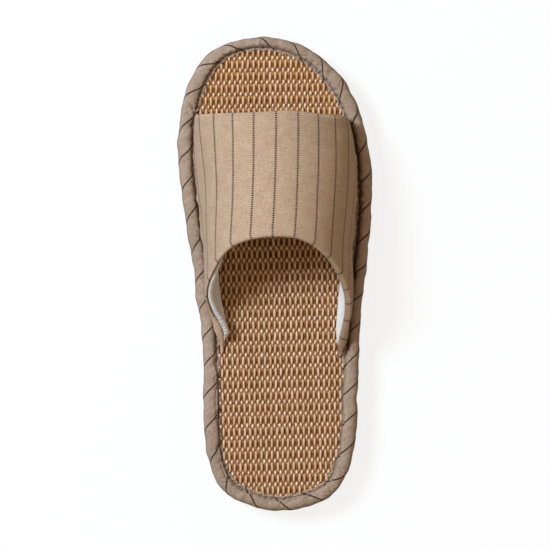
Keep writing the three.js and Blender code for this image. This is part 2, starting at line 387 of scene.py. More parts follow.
def mixed(tree, share, first, second, way="MIX"):
    """A colour between two others by a share, or the product of both where the way is MULTIPLY."""
    settings = {"data_type": "RGBA", "blend_type": way}
    return add(tree, "ShaderNodeMix", settings, i0=share, i6=first, i7=second).outputs[2]


def reckoned(tree, operation, *values):
    """The result of one arithmetic operation on numbers or sockets."""
    inputs = {f"i{k}": value for k, value in enumerate(values)}
    return add(tree, "ShaderNodeMath", {"operation": operation}, **inputs).outputs[0]


def mark_of(tree, name):
    """A single value that the mesh carries at its points."""
    return add(tree, "ShaderNodeAttribute", {"attribute_name": name}).outputs["Fac"]


golden, given = new_group(
    "less_trodden_straw", {"Place": "Vector", "Color": "Color", "Toe Cast": "Color"}, {"Color": "Color"}
)
up_the_sole = add(golden, "ShaderNodeSeparateXYZ", Vector=given["Place"]).outputs["Y"]
to_toe = ranged(golden, up_the_sole, 0.05, 0.1, way="SMOOTHSTEP")
gilded = mixed(golden, to_toe, given["Color"], given["Toe Cast"], "MULTIPLY")
add(golden, "NodeGroupOutput", Color=gilded)

straw, tree, shader = new_finish("straw_strands")
here = add(tree, "ShaderNodeTexCoord").outputs["Object"]
fibre_place = add(tree, "ShaderNodeMapping", Vector=here, Scale=(5200.0, 420.0, 5200.0))
fibre = noise(tree, fibre_place.outputs["Vector"], 1.0)
crest = mark_of(tree, "crest")
dye = graded(
    tree,
    mark_of(tree, "tone"),
    (0.0, srgb(224, 172, 134)),
    (0.15, srgb(222, 185, 135)),
    (0.3, srgb(232, 184, 144)),
    (0.45, srgb(228, 191, 146)),
    (0.6, srgb(242, 198, 162)),
    (0.8, srgb(250, 213, 175)),
    (1.0, srgb(255, 224, 192)),
)
streaked = mixed(tree, 1.0, dye, ranged(tree, fibre, 0.3, 0.75, 0.8, 1.06), "MULTIPLY")
# Painted shade: the straw gets a darker colour where it lies low in the weave, between the grains and in
# the wefts.
low_straw_shade = mixed(tree, ranged(tree, crest, 0.1, 0.35), srgb(124, 82, 46), srgb(186, 138, 92))
depth_shade_painted = mixed(tree, ranged(tree, crest, 0.0, 0.75), low_straw_shade, streaked)
toe_cast = (1.04, 1.02, 0.97, 1.0)
gold_straw = add(tree, "ShaderNodeGroup", {"node_tree": golden}, Place=here, Color=depth_shade_painted, Toe_Cast=toe_cast)
bump = add(tree, "ShaderNodeBump", Strength=0.3, Distance=0.0001, Height=fibre)
dress(tree, shader, gold_straw.outputs["Color"], 0.5, bump)

columns = np.arange(np.ceil(mat_edge[:, 0].min() / COLUMN_PITCH), mat_edge[:, 0].max() / COLUMN_PITCH)
for strand_name, shift, phase_shift, half_grain, lift, width, paler in STRANDS:
    middles = (columns + shift) * COLUMN_PITCH + COLUMN_START
    across, low, high = mat_lines(middles, 0, 1, 4 * ROW_PITCH)
    along = low + (high - low) * np.linspace(0, 1, STRAND_STEPS)
    wander = 0.12 * np.sin(along / 17 + straw_seed.uniform(*ANY_PHASE, across.shape))
    row_slip = straw_seed.normal(0, 0.02, across.shape) + 0.02 * np.sin(along / 31 + across)
    phase = (along - ROW_START) / ROW_PITCH + phase_shift + row_slip
    length = half_grain * each_grain(phase, 0.92, 1.06)
    height = grain(phase, length)
    above = np.clip(height, 0, 1)
    aside = each_grain(phase, -0.14, 0.14) + each_grain(phase, -0.3, 0.9) * (phase - np.round(phase))
    pressed = each_grain(phase, 0.85, 1.1)
    paths = on_mat(across + wander + aside * above, along, lift * pressed * height - STRAND_SINK)
    plump = width * (0.45 + 0.55 * above**0.9) * each_grain(phase, 0.9, 1.08)
    tones = straw_seed.uniform(-0.22, 0.22, across.shape) + each_grain(phase, 0.15, 0.6) + paler
    strand_marks = {"tone": np.clip(tones, 0, 1), "crest": above}
    strands = tubes(strand_name, paths, mat_axes[0], plump, STRAND_THICKNESS, strand_marks)

first_weft = np.ceil((mat_edge[:, 1].min() - ROW_START) / ROW_PITCH - 0.5)
weft_number = np.arange(first_weft, (mat_edge[:, 1].max() - ROW_START) / ROW_PITCH - 0.5)
middles = ROW_START + (weft_number + 0.5) * ROW_PITCH
weft_rows, low, high = mat_lines(middles, 1, 0, 2 * COLUMN_PITCH)
across = low + (high - low) * np.linspace(0, 1, WEFT_STEPS)
along = weft_rows + 0.2 * np.sin(across / 5 + straw_seed.uniform(*ANY_PHASE, low.shape))
weft_width = WEFT_WIDTH * (1 + 0.12 * np.sin(across / 3.1 + weft_rows))
# The wefts' low crest gives them the straw's painted shade.
weft_marks = {
    "tone": np.broadcast_to(straw_seed.uniform(0, 1, low.shape), across.shape),
    "crest": 0.06 * (1 + np.sin(across / 2.3 + 2 * weft_rows)),
}
weft_paths = on_mat(across, along, -WEFT_SINK)
wefts = tubes("mat_wefts", weft_paths, mat_axes[1], weft_width, WEFT_THICKNESS, weft_marks)

backing, tree, shader = new_finish("mat_backing")
here = add(tree, "ShaderNodeTexCoord").outputs["Object"]
row_turns = 2 * np.pi / (ROW_PITCH * MM)
up_the_rows = add(
    tree,
    "ShaderNodeVectorMath",
    {"operation": "DOT_PRODUCT"},
    i0=here,
    i1=(*(mat_axes[1] * row_turns).tolist(), 0.0),
)
shade_start = row_turns * ROW_START * MM + np.pi / 2 - ROW_SHADE_LEAD
row_wave = reckoned(tree, "SINE", reckoned(tree, "SUBTRACT", up_the_rows.outputs["Value"], shade_start))
lit_half = reckoned(tree, "MULTIPLY_ADD", row_wave, 0.35, noise(tree, here, 500.0, 3.0))
tint = graded(tree, lit_half, (0.2, srgb(116, 70, 24)), (0.8, srgb(187, 138, 92)))
up_the_sole = add(tree, "ShaderNodeSeparateXYZ", Vector=here).outputs["Y"]
# Painted shade: the pad is darker from a little behind the throat forwards, where the upper shades it.
throat_shade = ranged(tree, up_the_sole, -0.018, 0.012, 1.0, 0.68)
throat_shaded = mixed(tree, 1.0, tint, throat_shade, "MULTIPLY")
toe_cast = (1.91, 1.82, 1.54, 1.0)
gold_pad = add(tree, "ShaderNodeGroup", {"node_tree": golden}, Place=here, Color=throat_shaded, Toe_Cast=toe_cast)
dress(tree, shader, gold_pad.outputs["Color"], 0.85)
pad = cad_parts["insole"]
pad.data.materials.clear()
pad.data.materials.append(backing)

# Rolled edge: a tape of the striped cloth, cut on the bias, wrapped over a soft cord round the pad and
# stitched down through the mat. Each stitch pinches the cloth, so the seam is puckered all the way round.
ROLL_FOOT = 3.8
ROLL_BOTTOM = 5.1
ROLL_MIDDLE = 10.0
ROLL_TOP = 15.4
ROLL_STEPS = 4
OUTSIDE_CONTROL = 2
SEAM_CONTROL = 8
PAD_SIDE = 5.3
TILT_MIDDLE = 0.96
TILT_REACH = 0.035
STRIPES_ROUND = 36
FIRST_STRIPE = 1.4
BIAS = np.radians(45.0)
STITCH_PITCH = 4.2
FOLDS = 150
CREASES = 34
THREADS_PER_MM = 2.2
WEAVE_TONES = (2.1, 3.2)
BEAD_PITCH = 1.206
STRIPE_FADE = 0.16
CLOTH_BUMP = {"Strength": 0.6, "Distance": 0.0002}
# Length of tape from its seam round under the roll, back to its foot
UNDER_RUN = [[1.0, 5.0, 12.0, 16.0]]
# How far the hand-laid tape's stripes run ahead of an even pitch: place round the edge, lead
STRIPE_LEAD = (
    (0.0, 3.2),
    (58.0, 4.1),
    (100.0, 5.1),
    (135.0, 3.0),
    (160.0, 3.2),
    (187.0, 0.6),
    (229.0, -2.5),
    (255.0, -4.5),
    (282.0, -1.9),
    (341.0, 2.5),
    (380.0, 6.4),
    (417.0, 8.3),
    (436.0, 7.4),
    (464.0, 2.5),
    (498.0, 0.0),
    (533.0, -0.6),
    (557.0, -3.2),
    (604.0, -0.6),
    (edge_length, 3.2),
)
# Darker patches of the tape, added to its painted shade: place round the edge, reach, darkness
ROLL_SPOTS = ((180.0, 18.0, 0.16), (381.0, 22.0, 0.12), (501.0, 20.0, 0.14))

weave, given = new_group("plain_weave", {"Place": "Vector"}, {"Tone": "Float", "Height": "Float"})
place = given["Place"]
slubs = []
for slub_scale in ((2.4, 0.16, 1.0), (0.16, 2.4, 1.0)):
    slub_place = add(weave, "ShaderNodeMapping", Vector=place, Scale=slub_scale)
    slubs.append(noise(weave, slub_place.outputs["Vector"], 1.0))
tone = reckoned(weave, "ADD", *slubs)
tone = reckoned(weave, "MULTIPLY_ADD", noise(weave, place, 0.9, 4.0, 0.75), 2.4, tone)
tone = reckoned(weave, "MULTIPLY_ADD", noise(weave, place, 0.16, 3.0, 0.6), 0.9, tone)
axes = add(weave, "ShaderNodeSeparateXYZ", Vector=place).outputs
waves = []
for axis in ("X", "Y"):
    turns = reckoned(weave, "MULTIPLY", axes[axis], 2 * np.pi * THREADS_PER_MM)
    waves.append(reckoned(weave, "SINE", turns))
crossings = reckoned(weave, "MULTIPLY", *waves)
height = reckoned(weave, "MULTIPLY_ADD", crossings, 0.25, tone)
add(weave, "NodeGroupOutput", Tone=tone, Height=height)

stripe_values = dict.fromkeys(("Pitch", "Half Width", "Bead", "Soil"), "Float")
striped, given = new_group(
    "pinstriped_cloth",
    {"Place": "Vector", **stripe_values, "Low Tone": "Color", "High Tone": "Color"},
    {"Color": "Color", "Height": "Float"},
)
place = given["Place"]
ground = add(striped, "ShaderNodeGroup", {"node_tree": weave}, Place=place).outputs
tint = ranged(striped, ground["Tone"], *WEAVE_TONES)
cloth_colour = mixed(striped, tint, given["Low Tone"], given["High Tone"])
drift = noise(striped, place, 0.13)
cast = graded(striped, drift, (0.35, (0.985, 0.975, 0.93, 1.0)), (0.65, (1.0, 0.93, 0.94, 1.0)))
tinged = mixed(striped, 1.0, cloth_colour, cast, "MULTIPLY")
axes = add(striped, "ShaderNodeSeparateXYZ", Vector=place).outputs
half_pitch = reckoned(striped, "DIVIDE", given["Pitch"], 2.0)
to_stripe = reckoned(striped, "PINGPONG", axes["X"], half_pitch)
beads = reckoned(striped, "SINE", reckoned(striped, "MULTIPLY", axes["Y"], 2 * np.pi / BEAD_PITCH))
ragged = reckoned(striped, "MULTIPLY_ADD", beads, given["Bead"], given["Half Width"])
fade = reckoned(striped, "ADD", ragged, STRIPE_FADE)
line = ranged(striped, to_stripe, ragged, fade, 0.95, 0.0, "SMOOTHSTEP")
lined = mixed(striped, line, tinged, srgb(54, 40, 24))
# Painted shade: the cloth turns dark brown by the mesh's painted shade mark.
shade_painted = mixed(striped, given["Soil"], lined, srgb(64, 41, 23))
add(striped, "NodeGroupOutput", Color=shade_painted, Height=ground["Height"])


def striped_finish(name, **stripes):
    """The pinstriped cloth with its stripes a pitch apart across the piece's own first coordinate.

    stripes sets the pitch, half width and beads of the stripes and the two tones of the cloth.
    """
    finish, tree, shader = new_finish(name)
    stripes["Place"] = add(tree, "ShaderNodeUVMap", {"uv_map": "cloth"}).outputs["UV"]
    # The mesh's mark of painted shade.
    stripes["Soil"] = mark_of(tree, "soil")
    cloth = add(tree, "ShaderNodeGroup", {"node_tree": striped}, **stripes).outputs
    bump = add(tree, "ShaderNodeBump", **CLOTH_BUMP, Height=cloth["Height"])
    dress(tree, shader, cloth["Color"], 0.92, bump)
    shader.inputs["Sheen Weight"].default_value = 0.1
    shader.inputs["Specular IOR Level"].default_value = 0.2
    return finish


def bell(distance, reach):
    """1 where the distance is 0, falling on both sides as e ^ -(distance / reach)^2."""
    return np.exp(-((distance / reach) ** 2))


def between(place, low, high, rise, fall):
    """0 outside low and high, and 1 between them from a rise after low to a fall before high."""
    return np.clip((place - low) / rise, 0, 1) * np.clip((high - place) / fall, 0, 1)


def section_points(*rows):
    """Points of the roll's section round the edge, from insets and heights that may vary along it."""
    return np.stack([np.stack(np.broadcast_arrays(*row, edge_band)[:2], -1) for row in rows])


roll_seed = np.random.default_rng(5)
drawn = roll_seed.uniform
along_edge = edge[:, 1]
round_share = np.arange(EDGE_PLACES) / EDGE_PLACES
around = edge_length * round_share
# Shares round the edge: beside the upper, along the rear sides, of the lip laid over the mat, of the
# hollow beside the upper's lateral foot and of the outward lean at the toe
under_upper = between(along_edge, -48.0, 90.0, 8.0, 6.0)
on_rear_side = between(along_edge, -116.0, -50.0, 8.0, 8.0)
lip = 1 - np.where(edge[:, 0] > 0, 0.85, 0.5) * on_rear_side
valley = under_upper * (edge[:, 0] > 0)
tilt = bell(round_share - TILT_MIDDLE, TILT_REACH)
# Section of the roll, from its foot up the outside and over the top to the lip on the mat: inset, height
roll_controls = section_points(
    (ROLL_FOOT, ROLL_BOTTOM),
    (1.3, 6.5),
    (0.0, ROLL_MIDDLE),
    (0.8, 13.3),
    (2.3, 14.9 - 0.35 * tilt),
    (0.5 * edge_band, ROLL_TOP),
    (edge_band - 2.2 - 1.1 * lip, 15.1 - 0.3 * under_upper - 0.7 * valley + 0.35 * tilt),
    (edge_band - 1.1 - 1.4 * lip, 14.5 - 0.9 * under_upper - 0.4 * valley + 0.3 * tilt),
    (edge_band - 0.5 - 1.4 * lip, 12.85 + 0.2 * lip - 0.6 * under_upper),
    (edge_band - 0.25 - 0.85 * lip, 12.95 + 0.6 * lip - 0.25 * under_upper),
    (edge_band - 0.1 - 0.1 * lip, 12.9 + 0.3 * lip),
    (edge_band + 0.05, 12.7),
)
under = section_points((edge_band - 0.9, 12.5), (PAD_SIDE, 12.4), (PAD_SIDE, ROLL_BOTTOM))
roll = spline(roll_controls, ROLL_STEPS).transpose(1, 0, 2)
roll_steps = np.linalg.norm(np.diff(roll, axis=1), axis=2)
roll_run = np.concatenate([np.zeros((EDGE_PLACES, 1)), np.cumsum(roll_steps, axis=1)], 1)
seam_run = roll_run[:, SEAM_CONTROL * ROLL_STEPS][:, None]
from_seam = roll_run - seam_run


def round_gap(centre):
    """Signed distance of every place round the edge from a centre, the shorter way."""
    gap = around[:, None] - centre
    return gap - edge_length * np.round(gap / edge_length)


def round_wave(turns, start):
    """A wave with a whole number of turns round the edge."""
    return np.sin(2 * np.pi * turns * around[:, None] / edge_length + start)


rise = np.zeros_like(roll_run)
stitches = int(edge_length / STITCH_PITCH)
for stitch in range(stitches):
    place = edge_length * (stitch + drawn(-0.3, 0.3)) / stitches
    depth, slant = drawn(0.15, 0.75), drawn(-0.5, 1.1)
    length, wide = drawn(1.0, 3.2), drawn(0.55, 1.1)
    apart = round_gap(place)
    rise -= depth * bell(apart + slant * from_seam, wide) * bell(from_seam, length)
for _ in range(FOLDS):
    place, below = edge_length * drawn(), drawn(-5.0, -0.4)
    height, slant = drawn(-0.7, 0.5), drawn(-1.5, 1.9)
    length, wide = drawn(1.2, 3.6), drawn(0.7, 1.6)
    apart = round_gap(place)
    up = from_seam - below
    rise += height * bell(up, length) * bell(apart + slant * up, wide)
for _ in range(CREASES):
    place, below = edge_length * (0.5 + 0.14 * roll_seed.normal()), drawn(-3.4, -0.9)
    depth, slant = drawn(0.3, 0.95), drawn(-0.2, 0.2)
    length, wide = drawn(2.5, 7.0), drawn(0.45, 0.8)
    apart = round_gap(place)
    rise -= depth * bell(apart, length) * bell(from_seam - below + slant * apart, wide)
on_roll = np.clip(1 + from_seam / seam_run, 0, 1)
puff = np.sin(np.pi * on_roll) * (0.35 + 0.65 * np.clip((on_roll - 0.35) / 0.35, 0, 1))
swell = 0.22 * round_wave(11, 1.0) + 0.16 * round_wave(29, 0.0) + 0.1 * round_wave(47, 2.0)
for turns, bend, deep in ((41, 5.0, 0.15), (67, -7.0, 0.13), (103, 9.0, 0.1), (139, -12.0, 0.07)):
    swell = swell + deep * round_wave(turns, bend * on_roll + turns)
rise += puff * swell
uneven = 0.5 * round_wave(13, 0.3) + 0.4 * round_wave(23, 2.2)
uneven += 0.35 * round_wave(37, 1.2) + 0.25 * round_wave(59, 0.7)
rise += 0.4 * bell(on_roll - 0.3, 0.25) * uneven
lean = unit(np.gradient(roll, axis=1))
roll_normal = np.stack([-lean[..., 1], lean[..., 0]], -1)
roll = roll + roll_normal * rise[..., None]
near_mat = np.clip(from_seam, 0, 1)
lumps = round_wave(139, 0.0) * round_wave(53, 1.0) + 0.7 * round_wave(211, 2.0) * round_wave(31, 0.5)
ragged_lip = 0.25 * round_wave(61, 0.4) + 0.2 * round_wave(97, 1.9) + 0.12 * round_wave(151, 0.0)
roll[..., 0] += near_mat * ragged_lip
roll[..., 1] += 0.28 * near_mat * lumps
section = np.concatenate([roll, under.transpose(1, 0, 2)], 1)
roll_points = edge_points(section[..., 0].T, section[..., 1].T).transpose(1, 0, 2)

stripe_pitch = edge_length / STRIPES_ROUND
closed_around = np.append(around, edge_length)
lead = np.interp(closed_around, *zip(*STRIPE_LEAD))
run = np.concatenate([roll_run, roll_run[:, -1:] + UNDER_RUN], 1)
run = np.vstack([run, run[:1]]) - roll_run[0, OUTSIDE_CONTROL * ROLL_STEPS]
sweep = (closed_around - lead - FIRST_STRIPE - stripe_pitch / 2)[:, None]
roll_places = np.dstack(
    [sweep * np.cos(BIAS) - run * np.sin(BIAS), sweep * np.sin(BIAS) + run * np.cos(BIAS)]
)
edge_cloth = striped_finish(
    "edge_tape_cloth",
    Pitch=stripe_pitch * np.cos(BIAS),
    Half_Width=0.36,
    Bead=0.1,
    Low_Tone=srgb(155, 133, 115),
    High_Tone=srgb(196, 175, 155),
)
# Painted shade on the tape: dark in the crevice along the seam, most beside the upper, in the hollow by
# its lateral foot and along the rear sides; dark low on the outside of the roll, where it turns under; and
# a thin dark line along the open seam.
shade_middle, shade_reach = (0.4 + 1.1 * valley)[:, None], (1.4 + 0.5 * valley)[:, None]
seam_shade = (0.12 + 0.5 * under_upper + 0.3 * valley + 0.4 * on_rear_side)[:, None]
roll_shade = seam_shade * bell(from_seam + shade_middle, shade_reach)
foot_shade = 0.32 * np.clip((13.0 - roll[..., 1]) / 3.0, 0, 1) * (from_seam < -4)
open_seam = ((1 - under_upper) * (1 - on_rear_side))[:, None]
seam_line = bell(from_seam, 0.45) * (0.75 + 0.25 * round_wave(73, 0.6) * round_wave(29, 1.1))
roll_shade = np.maximum(np.maximum(roll_shade, foot_shade), 0.6 * seam_line * open_seam)
for centre, reach, dark in ROLL_SPOTS:
    roll_shade = roll_shade + dark * bell(round_gap(centre), reach)
roll_marks = {"soil": np.concatenate([roll_shade, np.zeros((EDGE_PLACES, len(under)))], 1)}
edge_roll = skin(
    "edge_roll", roll_points, edge_cloth, rows_closed=True, places=roll_places, marks=roll_marks
)
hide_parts("rolled_edge")

# Upper: a band of the striped cloth over thin foam, sewn down both sides into the rolled edge's seam. It
# arches like a bent strip, is turned in along the toe opening and rolls over a soft edge at the throat.
WALL = 3.0
SEAM_INSET = 1.5
FOOT_LINE_REACH = 110.0
LATERAL_FLARE = 2.1
CROWN_SHIFT = 1.0
TUCK_POWER = 6
UPPER_FOOT = 12.6
ARCH_LINES = 221
ARCH_STEPS = 72
INNER_STEPS = 44
HEM_STEPS = 19
BEND_STEPS = 24
THROAT_REACH = 2.9
THROAT_BLEND = 6.0
MEDIAL_RADIUS = 0.75
LATERAL_RADIUS = 1.9
TIP_RADIUS = 0.5
TAIL_TAPER = 18.0
PINSTRIPE_PITCH = 12.22
PINSTRIPE_START = -3.65
PINSTRIPE_TILT = 0.115
PINSTRIPE_PIVOT = 55.0
EASE_SPREAD = 2.0
# Cloth eased in low on the tails: side, share of the length that is added, length from the crown
EASED_IN = ((-1, 0.62, 43.0), (1, 1.13, 45.3))
# How far the medial foot of the upper is drawn out over the rolled edge: along, reach
MEDIAL_FLARE = ((-52.0, 3.0), (20.0, 3.0), (43.0, 2.6), (74.0, 2.0), (87.0, 0.3))
# Sections: along, crown height, medial lean and tuck, lateral lean and tuck in degrees
ARCH_SECTIONS = (
    (-52.0, 50.0, 70.0, 31.0, 78.0, 41.0),
    (-15.0, 50.0, 82.0, 55.0, 79.0, 52.0),
    (20.0, 49.0, 77.0, 48.0, 70.0, 33.0),
    (55.0, 44.5, 65.0, 44.0, 67.0, 50.0),
    (90.0, 36.5, 60.0, 80.0, 62.0, 76.0),
)
# Edges of the upper: share of the section from the medial foot to the lateral one, and place along
FRONT_EDGE = (
    (-1.0, 88.8),
    (-0.63, 89.0),
    (-0.42, 89.15),
    (-0.2, 89.25),
    (0.0, 90.1),
    (0.1, 90.6),
    (0.22, 90.0),
    (0.42, 88.9),
    (0.63, 88.8),
    (0.84, 88.3),
    (1.0, 87.5),
)
THROAT_EDGE = (
    (-1.0, -43.0),
    (-0.95, -31.0),
    (-0.9, -22.5),
    (-0.84, -15.5),
    (-0.76, -8.0),
    (-0.64, 1.8),
    (-0.52, 12.0),
    (-0.4, 18.5),
    (-0.24, 22.7),
    (-0.08, 24.2),
    (0.1, 23.2),
    (0.25, 19.5),
    (0.39, 13.6),
    (0.51, 6.8),
    (0.63, -3.0),
    (0.76, -18.0),
    (0.88, -32.0),
    (1.0, -46.0),
)
# Creases and swells: share and place along of the middle, reach in both, rise
CREASES_AND_SWELLS = (
    (0.93, -22.0, 0.035, 16.0, 0.9),
    (0.84, -12.0, 0.03, 18.0, -0.5),
    (0.8, 4.0, 0.1, 22.0, 1.2),
    (-0.9, -10.0, 0.05, 18.0, 0.6),
    (-0.82, 20.0, 0.05, 20.0, -0.4),
    (-0.75, 60.0, 0.09, 16.0, -0.5),
    (0.7, 62.0, 0.1, 14.0, -0.5),
    (-0.15, 60.0, 0.18, 9.0, -0.45),
    (0.25, 44.0, 0.2, 8.0, -0.35),
    (0.05, 80.0, 0.25, 5.0, 0.4),
    (-0.4, 76.0, 0.12, 7.0, -0.4),
    (0.5, 78.0, 0.12, 7.0, -0.4),
)


def through(rows, column, place):
    """One column of a table at places on its first column, on cubic pieces.

    The slope at each row is the mean of the slopes to its neighbours.
    """
    xs, vs = np.array(rows)[:, [0, column]].T
    steep = np.diff(vs) / np.diff(xs)
    slope = np.concatenate([steep[:1], (steep[1:] + steep[:-1]) / 2, steep[-1:]])
    place = np.clip(place, xs[0], xs[-1])
    i = np.clip(np.searchsorted(xs, place, side="right") - 1, 0, len(xs) - 2)
    span = xs[i + 1] - xs[i]
    t = (place - xs[i]) / span
    start = vs[i] * (1 + 2 * t) * (1 - t) ** 2 + slope[i] * span * t * (1 - t) ** 2
    return start + vs[i + 1] * t * t * (3 - 2 * t) + slope[i + 1] * span * t * t * (t - 1)


def eased(value, start, end):
    """0 before start, 1 after end, and 3t^2 - 2t^3 between them."""
    t = np.clip((value - start) / (end - start), 0, 1)
    return t * t * (3 - 2 * t)


foot_ring = edge_points(edge_band + SEAM_INSET, 0.0)[0]
foot_lines = []
for side in (-1, 1):
    foot = foot_ring[(np.sign(inward[:, 0]) == -side) & (np.abs(foot_ring[:, 1]) < FOOT_LINE_REACH)]
    foot_lines.append(foot[np.argsort(foot[:, 1])][:, [1, 0]])
medial_foot, lateral_foot = foot_lines


def bent(share, along):
    """Across and height of the upper's outer face above the floor, and the length of cloth from its crown.

    The slope at share p of a side is lean * sin(p * pi / 2) + tuck * p ^ 6. Its cosine and sine are summed
    from the crown, then scaled to the section's half width and crown height.
    """
    share, along = np.broadcast_arrays(share, along)
    medial = np.interp(along, *medial_foot.T)
    lateral = np.interp(along, *lateral_foot.T)
    crown_across = (medial + lateral) / 2 + CROWN_SHIFT
    left = share < 0
    crown, *medial_bend, lean, tuck = (through(ARCH_SECTIONS, k, along) for k in range(1, 6))
    lean, tuck = np.radians(np.where(left, medial_bend, (lean, tuck)))
    steps = (np.arange(BEND_STEPS) + 0.5) / BEND_STEPS

    def summed(end):
        p = end[..., None] * steps
        slope = lean[..., None] * np.sin(p * np.pi / 2) + tuck[..., None] * p**TUCK_POWER
        return end * np.cos(slope).mean(-1), end * np.sin(slope).mean(-1), slope

    out, drop, slope = summed(np.abs(share))
    foot_out, foot_drop, _ = summed(np.ones_like(share))
    width = np.where(left, medial, lateral) - crown_across
    x = crown_across + width * out / foot_out
    z = UPPER_FOOT + crown * (1 - drop / foot_drop) + toe_lift(along)
    wide, tall = (width / foot_out)[..., None], (crown / foot_drop)[..., None]
    stretch = np.hypot(np.cos(slope) * wide, np.sin(slope) * tall)
    return x, z, share * stretch.mean(-1)


def arch(share, along):
    """Points of the upper's outer face."""
    x, z, _ = bent(share, along)
    return np.stack([x, np.broadcast_to(along, x.shape), z], -1)


def arch_frame(share, along):
    """Directions of the outer face: across the stripes, along them, and outwards."""
    step, stride = 0.004, 0.5
    sideways = unit(arch(np.minimum(share + step, 1), along) - arch(np.maximum(share - step, -1), along))
    forward = arch(share, along + stride) - arch(share, along - stride)
    outwards = unit(np.cross(sideways, forward))
    return sideways, np.cross(outwards, sideways), outwards


def cloth_place(share, along):
    """The cloth's own coordinates, in millimetres across and along its pinstripes.

    Across is the length of cloth from the crown. Low on the tails the cloth is eased in, so more of it
    passes there: a share of the length beyond a start is added on each side. It sets in softly, as
    spread * log(1 + e ^ (beyond / spread)), and fades towards the toe.
    """
    _, _, length = bent(share, along)
    extra = 0
    for side, added, start in EASED_IN:
        beyond = EASE_SPREAD * np.logaddexp(0, (side * length - start) / EASE_SPREAD)
        extra = extra + side * added * beyond
    across = length + (1 - eased(along, -30.0, 60.0)) * extra
    across = across - PINSTRIPE_START - PINSTRIPE_TILT * (along - PINSTRIPE_PIVOT)
    return np.stack([across, along + 0 * length], -1)


def soft_relief(share, along):
    """Soft troughs and ridges of the cloth, in millimetres outwards from the smooth arch.

    Pulls along the seam are sums of waves that fade away from it. Each crease or swell is a bell in share
    and along.
    """
    pulls = np.sin(along / 0.95 + 1.7 * np.sin(along / 5.0)) + 0.8 * np.sin(along / 1.9 + share * 4 + 2.0)
    relief = 0.28 * bell(1 - np.abs(share), 0.06) * pulls
    for middle_share, middle_along, reach_share, reach_along, height in CREASES_AND_SWELLS:
        across_bell = bell(share - middle_share, reach_share)
        relief = relief + height * across_bell * bell(along - middle_along, reach_along)
    return relief


def at_tail(share, along):
    """1 along the upper, falling to 0 over the taper before the tip of each tail."""
    tip = np.where(share < 0, THROAT_EDGE[0][1], THROAT_EDGE[-1][1])
    return eased(along, tip, tip + TAIL_TAPER)


def wall_at(share, along):
    """Thickness of the wall, which thins to a third at the tips of the tails."""
    return WALL * (0.33 + 0.67 * at_tail(share, along))


def outer_shift(share, along):
    """Shift of the outer face from the arch: its soft relief, and a flare at the foot into the seam."""
    _, _, outwards = arch_frame(share, along)
    wobble = 1 + 0.14 * np.sin(along / 3.1) + 0.1 * np.sin(along / 1.7 + 1.0)
    medial_reach = np.interp(along, *zip(*MEDIAL_FLARE))
    reach = np.where(share < 0, -medial_reach, LATERAL_FLARE) * at_tail(share, along) * wobble
    aside = reach * eased(np.abs(share), 0.84, 1.0)
    up = 0.6 * eased(np.abs(share), 0.9, 1.0) + 0 * along
    return outwards * soft_relief(share, along)[..., None] + np.stack([aside, 0 * aside, up], -1)


shares = np.linspace(-1, 1, ARCH_LINES)[:, None]
front_along = through(FRONT_EDGE, 1, shares) - WALL / 2
throat_along = through(THROAT_EDGE, 1, shares)
side_radius = np.where(shares < 0, MEDIAL_RADIUS, LATERAL_RADIUS)
tail_spread = eased(-shares, 0.86, 0.94)
tip_start = np.where(shares < 0, 0.95, 0.93)
throat_radius = WALL / 2 + (side_radius - WALL / 2) * eased(np.abs(shares), 0.3, 0.65)
throat_radius = throat_radius + 0.95 * tail_spread
throat_radius = throat_radius + (TIP_RADIUS - throat_radius) * eased(np.abs(shares), tip_start, 1.0)


def edge_frame(edge_along, away):
    """Points of an edge of the upper, and the directions forward, outwards and away from the cloth there.

    The last one lies in the cloth's own face, at right angles to the edge.
    """
    origin = arch(shares, edge_along)[:, 0]
    _, forward, outwards = (d[:, 0] for d in arch_frame(shares, edge_along))
    leaving = unit(np.cross(unit(np.gradient(origin, axis=0)), outwards)) * away
    return origin, forward, outwards, leaving


def hem(edge_along, away, reach, radius):
    """Half round turn of the cloth at an edge, from the outer face to the inner one, and its cloth places.

    The turn lies in the plane of the face's outward direction and the direction that leaves the cloth. The
    outer face's own shift fades out over it. The cloth is pulled square over the edge, so its stripes
    cross the turn at right angles.
    """
    origin, _, outwards, leaving = edge_frame(edge_along, away)
    turn = np.linspace(0, np.pi, HEM_STEPS)
    back = reach + radius * np.sin(turn)
    out = radius * (np.cos(turn) - 1)
    points = origin[:, None] + leaving[:, None] * back[..., None] + outwards[:, None] * out[..., None]
    points = points + outer_shift(shares, edge_along) * ((1 + np.cos(turn)) / 2)[:, None]
    place = cloth_place(shares, edge_along)
    run = reach + radius * turn
    return points, np.dstack([place[..., 0] + 0 * run, place[..., 1] - away * run])


along_out = front_along + (throat_along - front_along) * np.linspace(0, 1, ARCH_STEPS)
along_in = front_along + (throat_along - front_along) * np.linspace(1, 0, INNER_STEPS)
outer = arch(shares, along_out) + outer_shift(shares, along_out)
_, _, in_normal = arch_frame(shares, along_in)
wall = wall_at(shares, along_in)
thickness = wall + (2 * throat_radius - wall) * bell(along_in - throat_along, THROAT_BLEND)
inner = arch(shares, along_in) - in_normal * thickness[..., None]
inner[..., 2] += 0.4 * eased(np.abs(shares), 0.85, 1.0)
throat_reach = THROAT_REACH * (0.3 + 0.7 * at_tail(shares, throat_along))
throat_turn, throat_places = hem(throat_along, 1, throat_reach - throat_radius, throat_radius)
front_turn, front_places = hem(front_along, -1, 0 * shares, WALL / 2 + 0 * shares)
upper_rings = np.concatenate([outer, throat_turn, inner, front_turn[:, ::-1]], 1)
outer_places, inner_places = cloth_place(shares, along_out), cloth_place(shares, along_in)
upper_places = np.concatenate(
    [outer_places, throat_places, inner_places, front_places[:, ::-1], outer_places[:, :1]], 1
)
